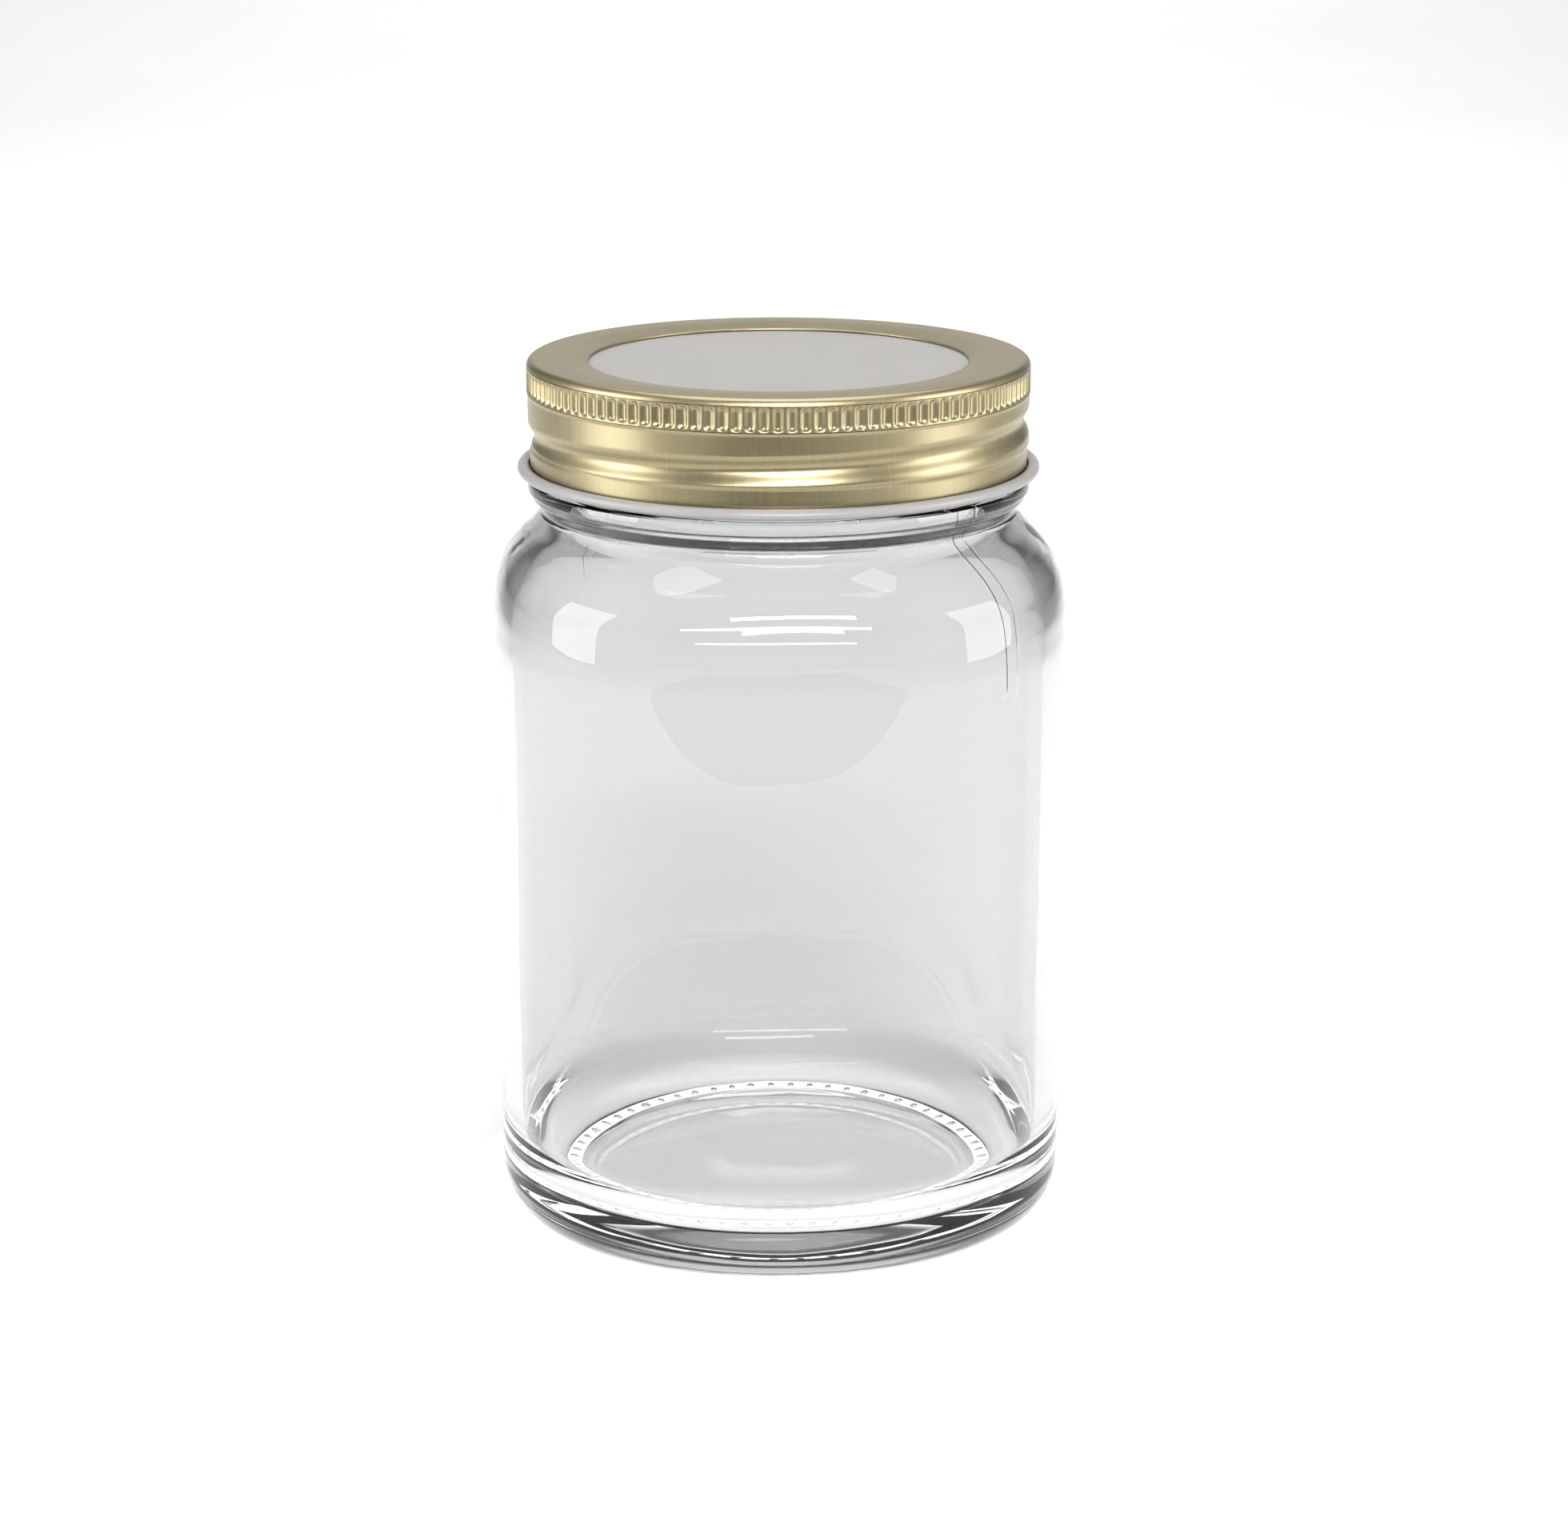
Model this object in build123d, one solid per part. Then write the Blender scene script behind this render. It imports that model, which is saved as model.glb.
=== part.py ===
from build123d import *
import math
import os

# Glass canning jar with a two-piece closure: a screw band, a loose lid disc and its sealing
# ring.  Millimetres, +Z up.  The origin is the centre of the ring the jar stands on; -Y is
# the front.  The closure is modelled screwed fully home.

# ---- overall sizes --------------------------------------------------------------------
closed_height = 128.0        # bearing ring to the top of the screw band
band_radius = 36.5           # outside of the band's skirt
body_half_width = 42.0       # centre to the middle of a side face
square_turn = 3.0            # degrees the four faces are turned about Z from the front
glass_wall = 3.6

# ---- jar ------------------------------------------------------------------------------
heel_radius = 8.0            # big round at the foot of the body
bearing_radius = 33.9        # middle of the ring the jar stands on
bearing_width = 3.4
floor_thick = 5.6            # at the inside corner of the floor
push_up = 1.6                # hollow under the floor inside the bearing ring
floor_crown = 0.8            # the floor's middle stands this much higher inside
inner_heel = 10.0
body_squareness = 2.42       # superellipse exponent of the body; 2 is a circle
cavity_squareness = 2.34
notch_count = 62             # small radial grip marks round the bearing ring
notch_length = 1.9
notch_width = 0.75
notch_depth = 0.18

# ---- neck and finish ------------------------------------------------------------------
neck_radius = 34.65          # narrowest place, where the shoulder starts
neck_z = 105.7
bead_radius = 36.55          # bead just below the band
bead_low_z = 108.7
bead_high_z = 110.65
finish_radius = 34.3         # plain wall the thread stands on
mouth_radius = 30.4
rim_round = 1.2
bead_step = 0.45             # small step on the underside of the bead
bead_edge = 0.3              # slope on the bead's lower corner
neck_foot = 0.8              # the turned neck reaches this far down into the body
neck_cone_z = 1.3            # above neck_z, where the neck has opened by neck_cone
neck_cone = 0.5
ledge = 0.12                 # a turned part starts this far inside the moulded one it joins
square_ramp = 1.15           # the shoulder is fully square before it reaches full width
cavity_drop = 0.6            # share of the wall by which the inner shoulder sits lower

# ---- thread, shared by glass and band ---------------------------------------------------
thread_pitch = 5.08
groove_front_z = 118.1       # height of the band's thread groove at the front
thread_fade = 32.0           # degrees each end takes to run out
thread_clearance = 0.3       # radial air between the two threads where they pass closest
glass_thread_height = 1.2
glass_thread_reach = 1.75    # from the thread's middle to where it dies into the wall
glass_thread_span = (-215.0, 215.0)      # degrees from the front, positive to the right
groove_depth = 0.9
groove_reach_up = 2.2        # the groove's upper flank is the gentle one
groove_reach_down = 1.2
band_thread_span = (-165.0, 262.0)

# ---- sheet-metal closure -----------------------------------------------------------------
sheet = 0.35
corner_round = 1.1           # bend between the band's skirt and its top
aperture_radius = 27.5       # the opening that shows the lid disc
slope_radius = 31.0          # the band's top is flat outside this and slopes down inside it
lip_drop = 0.45              # the opening's edge lies this much lower than the flat ring
knurl_count = 120
knurl_high_z = 126.7
knurl_low_z = 123.3
knurl_step = 0.12            # the skirt is this much smaller below the grip
grip_foot_z = 122.9
flute_depth = 0.18
flute_round = 0.62
skirt_low_radius = 36.15     # outside of the plain wall above the hem
skirt_low_z = 115.2
inset_height = 0.7           # how tall each step between two skirt sizes is
hem_radius = 1.1             # outside of the rolled hem's tube
hem_z = 112.15
hem_gap = 0.12               # between the hem's free edge and the skirt
joint = 0.03                 # overlap that ties the turned and lofted parts of the band

# ---- lid disc and sealing ring --------------------------------------------------------------
disc_gap = 0.05              # between the band's opening and the disc's top, screwed home
disc_sheet = 0.3
disc_radius = 34.0
panel_radius = 28.6          # raised middle panel
panel_step = 0.45
panel_slope = 0.5
disc_lip = 0.9               # edge turned down
seal_inner_radius = 30.9
seal_outer_radius = 33.2
seal_thick = 0.8
seal_gap = 0.02              # between the sealing ring and the glass, screwed home

# ---- heights that follow --------------------------------------------------------------------
lip_top_z = closed_height - lip_drop
panel_top_z = lip_top_z - sheet - disc_gap
channel_top_z = panel_top_z - panel_step
seal_top_z = channel_top_z - disc_sheet
rim_z = seal_top_z - seal_thick - seal_gap

# (share of body_half_width, height) of the shoulder, from the neck down to the full body
shoulder = (
    (0.842, 104.9),
    (0.868, 103.6),
    (0.902, 102.1),
    (0.938, 100.3),
    (0.966, 98.2),
    (0.984, 95.8),
    (0.995, 92.6),
    (1.000, 88.5),
)


def section(half_width, exponent, height, turn=square_turn, points=48):
    """Closed superellipse wire: round for exponent 2, squarer above it."""
    ring = []
    for i in range(points):
        a = 2 * math.pi * i / points
        r = half_width * (abs(math.cos(a)) ** exponent + abs(math.sin(a)) ** exponent) ** (-1 / exponent)
        b = a + math.radians(turn)
        ring.append((r * math.cos(b), r * math.sin(b), height))
    return Wire([Edge.make_spline([Vector(*p) for p in ring], periodic=True)])


def squareness(share, full):
    """Exponent between a circle (share 0) and the full body value (share 1)."""
    return 2 + (full - 2) * share


def outer_body():
    """Body from the bearing ring to the neck, as one smooth loft."""
    foot = bearing_radius + bearing_width / 2
    rows = []
    for step in range(0, 7):
        a = math.radians(15 * step)
        half_width = foot + (body_half_width - foot) * math.sin(a)
        rows.append((half_width, squareness(math.sin(a), body_squareness), heel_radius * (1 - math.cos(a))))
    for height in (20.0, 45.0, 70.0):
        rows.append((body_half_width, body_squareness, height))
    for share, height in reversed(shoulder):
        turned = (share - neck_radius / body_half_width) / (1 - neck_radius / body_half_width)
        rows.append((share * body_half_width, squareness(min(1, turned * square_ramp), body_squareness), height))
    rows.append((neck_radius, 2.0, neck_z))
    return Solid.make_loft([section(*row) for row in rows])


def cavity():
    """Inside of the body and the mouth, to be taken out of the glass."""
    half_width = body_half_width - glass_wall
    rows = []
    for step in range(0, 7):
        a = math.radians(15 * step)
        width = half_width - inner_heel + inner_heel * math.sin(a)
        height = floor_thick + inner_heel * (1 - math.cos(a))
        rows.append((width, squareness(math.sin(a), cavity_squareness), height))
    for height in (25.0, 48.0, 72.0):
        rows.append((half_width, cavity_squareness, height))
    for share, height in reversed(shoulder):
        blend = max(0.0, (share * body_half_width - neck_radius) / (body_half_width - neck_radius))
        width = mouth_radius + ledge + (half_width - mouth_radius - ledge) * blend
        squared = squareness(min(1, blend * square_ramp), cavity_squareness)
        rows.append((width, squared, height - glass_wall * cavity_drop))
    rows.append((mouth_radius + ledge, 2.0, neck_z))
    return Solid.make_loft([section(*row) for row in rows])


def cap(radius, rise):
    """Shallow dome: flat disc below, rising by `rise` in the middle."""
    with BuildSketch(Plane.XZ) as half:
        with BuildLine():
            ThreePointArc((-radius, 0), (0, rise), (radius, 0))
            Polyline((radius, 0), (radius, -0.5), (-radius, -0.5), (-radius, 0))
        make_face()
        with Locations((radius, 0)):
            Rectangle(2 * radius, 8 * rise, mode=Mode.INTERSECT)
    return revolve(half.sketch, Axis.Z)


def finish_blank():
    """Neck, bead and finish wall up to the sealing rim, turned solid before the bore."""
    start = neck_radius - ledge
    with BuildSketch(Plane.XZ) as half:
        with BuildLine():
            Polyline(
                (0, neck_z - neck_foot),
                (start, neck_z - neck_foot),
                (start, neck_z + bead_edge),
                (start + neck_cone, neck_z + neck_cone_z),
                (bead_radius - bead_step, bead_low_z - 2 * bead_edge),
                (bead_radius - bead_step, bead_low_z),
                (bead_radius, bead_low_z + bead_edge),
                (bead_radius, bead_high_z),
                (finish_radius - ledge, bead_high_z),
                (finish_radius - ledge, rim_z - rim_round),
            )
            RadiusArc((finish_radius - ledge, rim_z - rim_round), (finish_radius - rim_round, rim_z), -rim_round)
            Polyline((finish_radius - rim_round, rim_z), (0, rim_z), (0, neck_z - neck_foot))
        make_face()
    return revolve(half.sketch, Axis.Z)


def bore():
    """Mouth bore with the rim's inner round."""
    top = rim_z + rim_round
    low = neck_z - 2 * rim_round
    flare = mouth_radius + rim_round
    with BuildSketch(Plane.XZ) as half:
        with BuildLine():
            Polyline((flare, rim_z), (flare, top), (0, top), (0, low))
            Polyline((0, low), (mouth_radius, low), (mouth_radius, rim_z - rim_round))
            RadiusArc((mouth_radius, rim_z - rim_round), (flare, rim_z), rim_round)
        make_face()
    return revolve(half.sketch, Axis.Z)


def thread_bump(turn, height, span, front_z, up, down):
    """Share (0 to 1) of a thread's full height at an angle and height, with run-out ends."""
    best = 0.0
    for lap in (turn - 360, turn, turn + 360):
        near_end = min(lap - span[0], span[1] - lap)
        if near_end <= 0:
            continue
        off = height - front_z - thread_pitch * lap / 360
        reach = up if off > 0 else down
        if abs(off) >= reach:
            continue
        share = math.cos(math.pi * off / reach / 2) ** 2
        if near_end < thread_fade:
            share *= math.sin(math.pi * near_end / thread_fade / 2) ** 2
        best = max(best, share)
    return best


def thread_drop():
    """How far the band's thread must run below the glass one to keep the clearance."""
    room = band_radius - knurl_step - sheet - finish_radius - thread_clearance
    drop = 0.0
    while True:
        drop += 0.02
        closest = 0.0
        for i in range(-60, 61):
            off = i / 20
            glass = math.cos(math.pi * off / glass_thread_reach / 2) ** 2 if abs(off) < glass_thread_reach else 0
            rise = off + drop
            reach = groove_reach_up if rise > 0 else groove_reach_down
            rib = math.cos(math.pi * rise / reach / 2) ** 2 if abs(rise) < reach else 0
            closest = max(closest, glass * glass_thread_height + rib * groove_depth)
        if closest <= room:
            return drop


def glass_finish_radius(turn, height):
    """Outside of the glass between bead and rim."""
    front_z = groove_front_z + thread_drop()
    reach = glass_thread_reach
    return finish_radius + glass_thread_height * thread_bump(turn, height, glass_thread_span, front_z, reach, reach)


def band_radius_at(turn, height, inset):
    """Outside of the band at an angle and height, or the face `inset` further in."""
    bend_z = closed_height - corner_round
    if height > bend_z:
        bend = corner_round - inset
        return band_radius - corner_round + math.sqrt(max(0.0, bend ** 2 - (height - bend_z) ** 2))
    plain = skirt_low_radius
    plain += (band_radius - knurl_step - skirt_low_radius) * ease((height - skirt_low_z) / inset_height)
    plain += knurl_step * ease((height - grip_foot_z) / inset_height)
    bump = thread_bump(turn, height, band_thread_span, groove_front_z, groove_reach_up, groove_reach_down)
    return plain - groove_depth * bump - inset


def ease(share):
    """Smooth step from 0 to 1."""
    share = min(1.0, max(0.0, share))
    return share * share * (3 - 2 * share)


def even_heights(low, high, step=0.36):
    """Evenly spaced heights, both ends included."""
    count = math.ceil((high - low) / step)
    return [low + (high - low) * k / count for k in range(count + 1)]


def plug(radius_at, heights, points=72):
    """Solid whose radius is given for every angle at each of the heights."""
    wires = []
    for height in heights:
        ring = []
        for i in range(points):
            turn = 360 * i / points - 180
            r = radius_at(turn, height)
            a = math.radians(turn - 90)
            ring.append(Vector(r * math.cos(a), r * math.sin(a), height))
        wires.append(Wire([Edge.make_spline(ring, periodic=True)]))
    return Solid.make_loft(wires)


def glass_jar():
    """Pressed glass jar: squared body, round foot, neck and threaded finish."""
    thread = plug(glass_finish_radius, even_heights(bead_high_z - 0.4, rim_z - rim_round - ledge))
    glass = outer_body() + (finish_blank() + thread)
    glass -= cavity()
    glass -= bore()
    glass -= cap(bearing_radius - bearing_width / 2, push_up)
    glass += Pos(0, 0, floor_thick) * cap(body_half_width - glass_wall - inner_heel - 1, floor_crown)
    notch = Box(notch_length, notch_width, 2 * notch_depth)
    glass -= [
        Rot(0, 0, 360 * i / notch_count) * Pos(bearing_radius, 0, 0) * notch
        for i in range(notch_count)
    ]
    return glass


def skin(inset, foot_z):
    """Solid bounded by one face of the band's sheet, `inset` inside its outer face."""
    bend_z = closed_height - corner_round
    heights = even_heights(foot_z, bend_z)
    for step in range(1, 7):
        heights.append(bend_z + (corner_round - inset) * math.sin(math.radians(15 * step)))
    body = plug(lambda turn, height: band_radius_at(turn, height, inset), heights)
    top = closed_height - inset
    with BuildSketch(Plane.XZ) as half:
        with BuildLine():
            Polyline(
                (0, top - lip_drop),
                (aperture_radius, top - lip_drop),
                (slope_radius, top),
                (slope_radius, top + 1),
                (0, top + 1),
                (0, top - lip_drop),
            )
        make_face()
    return body - revolve(half.sketch, Axis.Z)


def hem():
    """Hem rolled outwards and up: a tube left open where it meets the skirt again."""
    low = skirt_low_radius - sheet / 2
    tube = hem_radius - sheet / 2
    middle = low + tube
    close = math.degrees(math.acos((tube - sheet - hem_gap) / tube))
    with BuildSketch(Plane.XZ) as half:
        with BuildLine():
            outer = CenterArc((middle, hem_z), hem_radius, 180, 360 - close)
            inner = CenterArc((middle, hem_z), hem_radius - sheet, 180, 360 - close)
            Line(outer @ 0, inner @ 0)
            Line(outer @ 1, inner @ 1)
        make_face()
        with Locations((low, hem_z)):
            Rectangle(sheet - 4 * joint, 12 * joint)
    return revolve(half.sketch, Axis.Z)


def screw_band():
    """Sheet-metal screw band, open in the middle, with a fluted grip and a rolled hem."""
    flute = Pos(0, 0, knurl_low_z) * Cylinder(
        flute_round,
        knurl_high_z - knurl_low_z,
        align=(Align.CENTER, Align.CENTER, Align.MIN),
    )
    reach = band_radius + flute_round - flute_depth
    flutes = [Rot(0, 0, 360 * (i + 0.5) / knurl_count) * Pos(reach, 0, 0) * flute for i in range(knurl_count)]
    opening = Pos(0, 0, closed_height) * Cylinder(aperture_radius, 4 * lip_drop + 2 * sheet)
    band = (skin(0, hem_z + joint) - flutes) - skin(sheet, hem_z - 1) - opening
    return band + hem()


def lid_disc():
    """Pressed lid disc: raised middle panel, channel for the seal, edge turned down."""
    high = panel_top_z
    low = channel_top_z
    with BuildSketch(Plane.XZ) as half:
        with BuildLine():
            Polyline(
                (0, high),
                (panel_radius, high),
                (panel_radius + panel_slope, low),
                (disc_radius, low),
                (disc_radius, low - disc_lip),
                (disc_radius - disc_sheet, low - disc_lip),
                (disc_radius - disc_sheet, low - disc_sheet),
                (panel_radius + panel_slope - disc_sheet / 2, low - disc_sheet),
                (panel_radius - disc_sheet / 2, high - disc_sheet),
                (0, high - disc_sheet),
                (0, high),
            )
        make_face()
    return revolve(half.sketch, Axis.Z)


def sealing_ring():
    """Flat ring of sealing compound stuck in the disc's channel."""
    width = seal_outer_radius - seal_inner_radius
    with BuildSketch(Plane.XZ) as half:
        with Locations(((seal_outer_radius + seal_inner_radius) / 2, seal_top_z - seal_thick / 2)):
            Rectangle(width, seal_thick)
        fillet(half.vertices().group_by(Axis.Y)[0], seal_thick / 4)
    return revolve(half.sketch, Axis.Z)


os.makedirs("parts", exist_ok=True)
for name, make in (
    ("glass_jar", glass_jar),
    ("lid_disc", lid_disc),
    ("sealing_ring", sealing_ring),
    ("screw_band", screw_band),
):
    export_step(make(), f"parts/{name}.step")
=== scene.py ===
# %% [markdown]
# # A glass canning jar with its two-piece closure
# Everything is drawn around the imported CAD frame, in metres, with +Z up and -Y as the front.
# The jar is one piece of pressed glass; a gold screw band holds a pale lid disc on its rim.
# Glass is judged by what it bends, so its walls are made as real, closed, two-sided shells.

# %% Start from the frame
import bpy
import math
import numpy as np
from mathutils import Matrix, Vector


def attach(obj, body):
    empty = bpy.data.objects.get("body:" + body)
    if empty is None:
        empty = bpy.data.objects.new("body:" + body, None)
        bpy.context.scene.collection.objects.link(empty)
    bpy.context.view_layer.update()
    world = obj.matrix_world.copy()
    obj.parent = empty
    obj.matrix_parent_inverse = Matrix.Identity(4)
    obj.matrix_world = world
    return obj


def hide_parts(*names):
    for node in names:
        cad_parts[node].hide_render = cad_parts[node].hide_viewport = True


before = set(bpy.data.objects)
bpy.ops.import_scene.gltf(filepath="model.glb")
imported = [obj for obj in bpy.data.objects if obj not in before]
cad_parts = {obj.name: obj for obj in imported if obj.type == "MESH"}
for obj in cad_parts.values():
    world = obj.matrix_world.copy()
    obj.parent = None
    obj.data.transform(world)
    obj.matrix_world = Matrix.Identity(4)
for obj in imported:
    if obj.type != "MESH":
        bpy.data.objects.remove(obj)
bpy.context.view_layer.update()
MM = 0.001

# %% [markdown]
# ## Turned and moulded shells
# A jar, a lid and a band are all rings: a profile taken round an axis. Blender's Spin could
# do the round ones, but the jar's body is squared and the threads climb as they go round, so
# one helper takes a radius for every angle on every row and joins the rows with faces.
# Poles are closed with a fan, and the signed volume tells whether the faces point outwards.

# %% Helper: rows of radii to a closed mesh
def shell_mesh(name, radius, height, angles, close_rows=False, poles=()):
    """radius and height are arrays of rows by columns, in millimetres."""
    rows, cols = radius.shape
    x = radius * np.cos(angles)
    y = radius * np.sin(angles)
    verts = np.stack([x, y, height], axis=-1).reshape(-1, 3)
    index = np.arange(rows * cols).reshape(rows, cols)
    nxt = np.roll(index, -1, axis=1)
    last = rows if close_rows else rows - 1
    faces = []
    for i in range(last):
        j = (i + 1) % rows
        faces.append(np.stack([index[i], nxt[i], nxt[j], index[j]], axis=1))
    faces = [tuple(int(v) for v in f) for f in np.concatenate(faces)]
    verts = [tuple(v) for v in verts]
    for row, z in poles:
        centre = len(verts)
        verts.append((0.0, 0.0, z))
        ring = index[row]
        for c in range(cols):
            pair = (int(ring[(c + 1) % cols]), int(ring[c]))
            faces.append((centre,) + (pair if row == 0 else pair[::-1]))
    mesh = bpy.data.meshes.new(name)
    mesh.from_pydata([(a * MM, b * MM, c * MM) for a, b, c in verts], [], faces)
    if signed_volume(mesh) < 0:
        mesh.flip_normals()
    mesh.shade_smooth()
    return mesh


def signed_volume(mesh):
    mesh.calc_loop_triangles()
    tris = np.array([t.vertices for t in mesh.loop_triangles])
    co = np.array([v.co for v in mesh.vertices])
    a, b, c = co[tris[:, 0]], co[tris[:, 1]], co[tris[:, 2]]
    return float(np.einsum("ij,ij->i", a, np.cross(b, c)).sum() / 6)


def add_piece(name, mesh):
    piece = bpy.data.objects.new(name, mesh)
    bpy.context.scene.collection.objects.link(piece)
    return piece


def smooth_curve(x, xs, ys):
    """Monotone curve through known points, so a shoulder never bulges between them."""
    xs, ys = np.asarray(xs, float), np.asarray(ys, float)
    h = np.diff(xs)
    d = np.diff(ys) / h
    m = np.zeros(len(xs))
    m[0], m[-1] = d[0], d[-1]
    for i in range(1, len(xs) - 1):
        if d[i - 1] * d[i] > 0:
            w1, w2 = 2 * h[i] + h[i - 1], h[i] + 2 * h[i - 1]
            m[i] = (w1 + w2) / (w1 / d[i - 1] + w2 / d[i])
    k = np.clip(np.searchsorted(xs, x) - 1, 0, len(xs) - 2)
    t = (x - xs[k]) / h[k]
    return (
        ys[k] * (1 + 2 * t) * (1 - t) ** 2
        + h[k] * m[k] * t * (1 - t) ** 2
        + ys[k + 1] * t * t * (3 - 2 * t)
        + h[k] * m[k + 1] * t * t * (t - 1)
    )


def ease(t):
    t = np.clip(t, 0.0, 1.0)
    return t * t * (3 - 2 * t)


# %% [markdown]
# ## The thread
# Glass and band share one right-hand helix that climbs 5.08 mm a turn. The glass has a
# rounded ridge, the band a groove pressed in from outside. Both fade out at their ends.
# The helix is a rule, so a function gives how much of the thread is present at any place.

# %% The thread as a function of angle and height
PITCH = 5.08
GROOVE_FRONT_Z = 118.1
THREAD_DROP = 1.60
FADE = 32.0


def thread_share(turn, z, span, front_z, up, down):
    best = np.zeros(np.broadcast(turn, z).shape)
    for lap in (turn - 360, turn, turn + 360):
        near_end = np.minimum(lap - span[0], span[1] - lap)
        off = z - front_z - PITCH * lap / 360
        reach = np.where(off > 0, up, down)
        share = np.where(np.abs(off) < reach, np.cos(np.pi * off / reach / 2) ** 2, 0)
        fade = np.sin(np.pi * np.clip(near_end / FADE, 0, 1) / 2) ** 2
        best = np.maximum(best, share * fade)
    return best


def turn_from_front(angles):
    """Degrees from the front, positive towards +X, between -180 and 180."""
    return (np.degrees(angles) + 90 + 180) % 360 - 180


# %% [markdown]
# ## The glass jar
# A pressed jar: round bearing ring and heel, a body squared like a cushion, a round shoulder
# and neck, a bead, and a threaded finish with a rounded rim. The inside is softer than the
# outside, so the glass is thicker in the corners and round the foot. The whole wall is one
# closed shell, listed row by row from the middle of the underside up, over the rim and down
# to the middle of the floor inside.

# %% Sizes of the jar
HALF_WIDTH = 42.0
SQUARE_TURN = math.radians(3.0)
WALL = 3.6
SQUARE_OUT = 2.42
SQUARE_IN = 2.34
SQUARE_RAMP = 1.15
NECK_R, NECK_Z = 34.65, 105.7
FOOT_R, HEEL_ROUND, INNER_HEEL = 35.6, 8.0, 10.0
PUSH_UP, PUSH_UP_R = 1.6, 32.2
FLOOR_Z, FLOOR_CROWN, FLOOR_R = 5.6, 0.8, 28.0
STRAIGHT_TOP_Z = 80.0
MOUTH_R = 30.4
RIM_Z = 125.58
RIM_ROUND = 1.2
FINISH_R = 34.3
RIDGE_HEIGHT, RIDGE_REACH = 1.2, 1.75
GLASS_THREAD = (-215.0, 215.0)
SHOULDER = (
    (0.842, 104.9), (0.868, 103.6), (0.902, 102.1), (0.938, 100.3),
    (0.966, 98.2), (0.984, 95.8), (0.995, 92.6), (1.000, 88.5),
)


def outer_rows():
    """(half width, squareness, height) from under the foot up to the finish wall."""
    rows = [
        (r, 2.0, PUSH_UP * (1 - (r / PUSH_UP_R) ** 2)) for r in np.linspace(1.5, PUSH_UP_R, 16)
    ]
    rows += [(32.5, 2.0, 0.0), (33.0, 2.0, 0.0), (34.9, 2.0, 0.0), (35.3, 2.0, 0.0)]
    for a in np.radians(np.arange(0, 91, 5)):
        s = math.sin(a)
        rows.append((
            FOOT_R + (HALF_WIDTH - FOOT_R) * s, 2 + (SQUARE_OUT - 2) * s,
            HEEL_ROUND * (1 - math.cos(a)),
        ))
    rows += [(HALF_WIDTH, SQUARE_OUT, z) for z in np.linspace(12, 84, 16)]
    zs = [z for _, z in reversed(SHOULDER)] + [NECK_Z]
    ws = [s * HALF_WIDTH for s, _ in reversed(SHOULDER)] + [NECK_R]
    for z in np.concatenate([np.arange(86, 104, 0.5), np.arange(104, 105.71, 0.25)]):
        w = NECK_R
        if z < NECK_Z:
            w = float(smooth_curve(z, [STRAIGHT_TOP_Z] + zs, [HALF_WIDTH] + ws))
        full = (w / HALF_WIDTH - NECK_R / HALF_WIDTH) / (1 - NECK_R / HALF_WIDTH)
        rows.append((w, 2 + (SQUARE_OUT - 2) * min(1, max(0, full * SQUARE_RAMP)), z))
    neck = (
        (34.57, 105.95), (34.60, 106.3), (34.78, 106.7), (35.10, 107.1), (35.55, 107.55),
        (35.92, 107.95), (36.06, 108.25), (36.08, 108.55), (36.16, 108.72), (36.40, 108.84),
        (36.52, 109.0), (36.55, 109.3), (36.55, 110.2), (36.50, 110.45), (36.32, 110.6),
        (36.0, 110.65), (35.2, 110.67), (34.65, 110.75), (34.38, 110.95),
    )
    rows += [(r, 2.0, z) for r, z in neck]
    return rows


def rim_rows():
    rows = []
    for middle, angles in (
        (FINISH_R - RIM_ROUND, np.arange(0, 91, 11.25)),
        (MOUTH_R + RIM_ROUND, np.arange(90, 181, 11.25)),
    ):
        for a in np.radians(angles):
            z = RIM_Z - RIM_ROUND + RIM_ROUND * math.sin(a)
            rows.append((middle + RIM_ROUND * math.cos(a), 2.0, z))
    return rows


def inner_rows():
    rows = [(MOUTH_R, 2.0, z) for z in (122.0, 118.0, 114.0, 110.0, 107.5)]
    half = HALF_WIDTH - WALL
    zs = [z - WALL * 0.6 for _, z in reversed(SHOULDER)] + [NECK_Z]
    shares = [
        max(0.0, (s * HALF_WIDTH - NECK_R) / (HALF_WIDTH - NECK_R)) for s, _ in reversed(SHOULDER)
    ] + [0.0]
    for z in np.concatenate([np.arange(106.2, 103, -0.3), np.arange(102.8, 86, -0.5)]):
        b = 0.0
        if z < NECK_Z:
            b = float(smooth_curve(z, [STRAIGHT_TOP_Z] + zs, [1.0] + shares))
        square = 2 + (SQUARE_IN - 2) * min(1, b * SQUARE_RAMP)
        rows.append((MOUTH_R + (half - MOUTH_R) * b, square, z))
    rows += [(half, SQUARE_IN, z) for z in np.linspace(82, 20, 14)]
    for a in np.radians(np.arange(90, -1, -5)):
        s = math.sin(a)
        rows.append((
            half - INNER_HEEL + INNER_HEEL * s, 2 + (SQUARE_IN - 2) * s,
            FLOOR_Z + INNER_HEEL * (1 - math.cos(a)),
        ))
    rows += [
        (r, 2.0, FLOOR_Z + FLOOR_CROWN * (1 - (r / FLOOR_R) ** 2))
        for r in np.linspace(27.4, 1.5, 15)
    ]
    return rows


# %% Build the glass shell
def squared(half_width, exponent, angles):
    a = angles - SQUARE_TURN
    reach = np.abs(np.cos(a)) ** exponent + np.abs(np.sin(a)) ** exponent
    return half_width * reach ** (-1 / exponent)


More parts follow.
